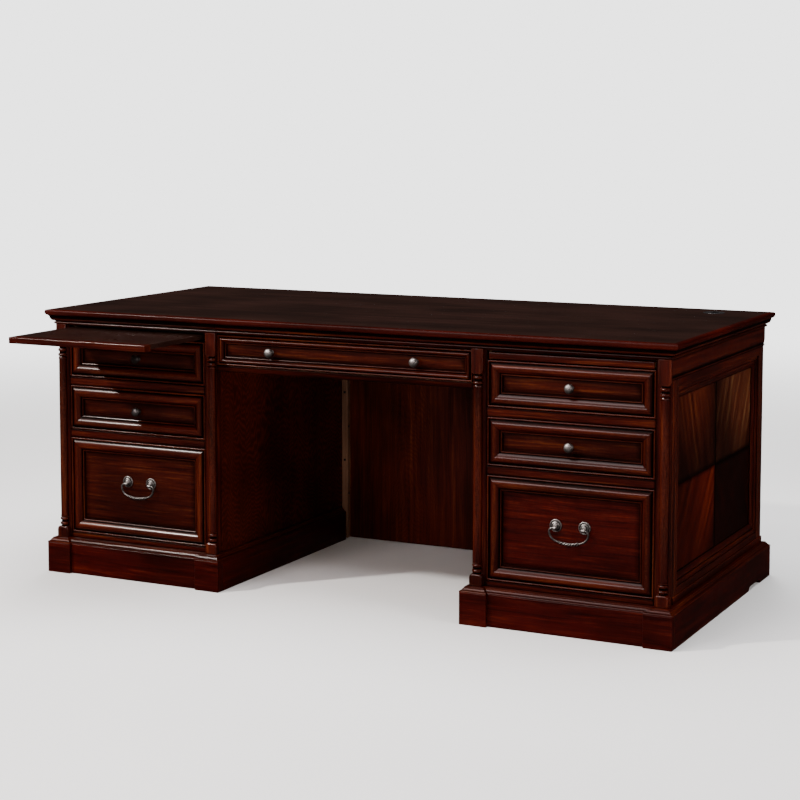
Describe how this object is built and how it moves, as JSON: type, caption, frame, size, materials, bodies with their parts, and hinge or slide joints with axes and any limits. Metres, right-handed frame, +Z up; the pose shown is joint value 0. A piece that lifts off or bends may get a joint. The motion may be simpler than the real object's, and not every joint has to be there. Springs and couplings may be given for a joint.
{
  "type": "double pedestal desk",
  "caption": "Executive desk with a moulded top on two framed drawer pedestals, pull-out writing slides, a centre drawer over a kneehole, and a cable grommet.",
  "frame": {"origin": "on the floor, under the middle of the whole outline with the left writing slide pulled out", "axes": "+X to the right of a person facing the drawers, +Y to the back, +Z up"},
  "size_m": [1.892, 1.143, 0.763],
  "materials": {
    "cherry_wood": "satin lacquer, dark red-brown",
    "cherry_veneer": "satin lacquered figured veneer",
    "dark_top": "semi-gloss lacquer, very dark brown",
    "drawer_wood": "clear sealed",
    "cleat_wood": "bare, sanded",
    "pewter": "antique pewter, worn bright on high spots",
    "runner_steel": "zinc plated",
    "black_plastic": "smooth moulded",
    "black_screw": "black oxide"
  },
  "bodies": {
    "desk": {"desktop": "dark_top", "grommet_liner": "black_plastic", "grommet_cap": "black_plastic", "centre_cornice": "cherry_wood", "left_cornice": "cherry_wood", "left_frieze": "cherry_wood", "left_side_frame": "cherry_wood", "left_side_panel": "cherry_veneer", "left_kneehole_side": "cherry_veneer", "left_back": "cherry_wood", "left_front_frame": "cherry_wood", "left_posts": "cherry_wood", "left_plinth": "cherry_wood", "left_corner_blocks": "cherry_wood", "left_plinth_cap": "cherry_wood", "left_guides": "runner_steel", "right_cornice": "cherry_wood", "right_frieze": "cherry_wood", "right_side_frame": "cherry_wood", "right_side_panel": "cherry_veneer", "right_kneehole_side": "cherry_veneer", "right_back": "cherry_wood", "right_front_frame": "cherry_wood", "right_posts": "cherry_wood", "right_plinth": "cherry_wood", "right_corner_blocks": "cherry_wood", "right_plinth_cap": "cherry_wood", "right_guides": "runner_steel", "centre_guides": "runner_steel", "kneehole_rails": "cherry_wood", "modesty_panel": "cherry_veneer", "cleats": "cleat_wood", "cleat_screws": "black_screw"},
    "left_slide": {"left_slide_board": "dark_top", "left_slide_lipping": "cherry_wood"},
    "left_upper_drawer": {"left_upper_front": "cherry_wood", "left_upper_box": "drawer_wood", "left_upper_knob": "pewter"},
    "left_middle_drawer": {"left_middle_front": "cherry_wood", "left_middle_box": "drawer_wood", "left_middle_knob": "pewter"},
    "left_file_drawer": {"left_file_front": "cherry_wood", "left_file_box": "drawer_wood", "left_file_rosettes": "pewter"},
    "left_bail": {"left_file_bail": "pewter"},
    "right_slide": {"right_slide_board": "dark_top", "right_slide_lipping": "cherry_wood"},
    "right_upper_drawer": {"right_upper_front": "cherry_wood", "right_upper_box": "drawer_wood", "right_upper_knob": "pewter"},
    "right_middle_drawer": {"right_middle_front": "cherry_wood", "right_middle_box": "drawer_wood", "right_middle_knob": "pewter"},
    "right_file_drawer": {"right_file_front": "cherry_wood", "right_file_box": "drawer_wood", "right_file_rosettes": "pewter"},
    "right_bail": {"right_file_bail": "pewter"},
    "centre_drawer": {"centre_front": "cherry_wood", "centre_box": "drawer_wood", "centre_knobs": "pewter"}
  },
  "joints": [
    {"name": "left_slide_pull", "type": "slide", "parent": "desk", "child": "left_slide", "axis": [0, -1, 0], "range_m": [-0.287, 0.013]},
    {"name": "left_upper_drawer_slide", "type": "slide", "parent": "desk", "child": "left_upper_drawer", "axis": [0, -1, 0], "range_m": [0, 0.38]},
    {"name": "left_middle_drawer_slide", "type": "slide", "parent": "desk", "child": "left_middle_drawer", "axis": [0, -1, 0], "range_m": [0, 0.38]},
    {"name": "left_file_drawer_slide", "type": "slide", "parent": "desk", "child": "left_file_drawer", "axis": [0, -1, 0], "range_m": [0, 0.46]},
    {"name": "left_bail_swing", "type": "hinge", "parent": "left_file_drawer", "child": "left_bail", "pos_m": [-0.654, -0.284, 0.2705], "axis": [-1, 0, 0], "range_deg": [0, 90]},
    {"name": "right_slide_pull", "type": "slide", "parent": "desk", "child": "right_slide", "axis": [0, -1, 0], "range_m": [0, 0.3]},
    {"name": "right_upper_drawer_slide", "type": "slide", "parent": "desk", "child": "right_upper_drawer", "axis": [0, -1, 0], "range_m": [0, 0.38]},
    {"name": "right_middle_drawer_slide", "type": "slide", "parent": "desk", "child": "right_middle_drawer", "axis": [0, -1, 0], "range_m": [0, 0.38]},
    {"name": "right_file_drawer_slide", "type": "slide", "parent": "desk", "child": "right_file_drawer", "axis": [0, -1, 0], "range_m": [0, 0.46]},
    {"name": "right_bail_swing", "type": "hinge", "parent": "right_file_drawer", "child": "right_bail", "pos_m": [0.654, -0.284, 0.2705], "axis": [-1, 0, 0], "range_deg": [0, 90]},
    {"name": "centre_drawer_slide", "type": "slide", "parent": "desk", "child": "centre_drawer", "axis": [0, -1, 0], "range_m": [0, 0.36]}
  ]
}
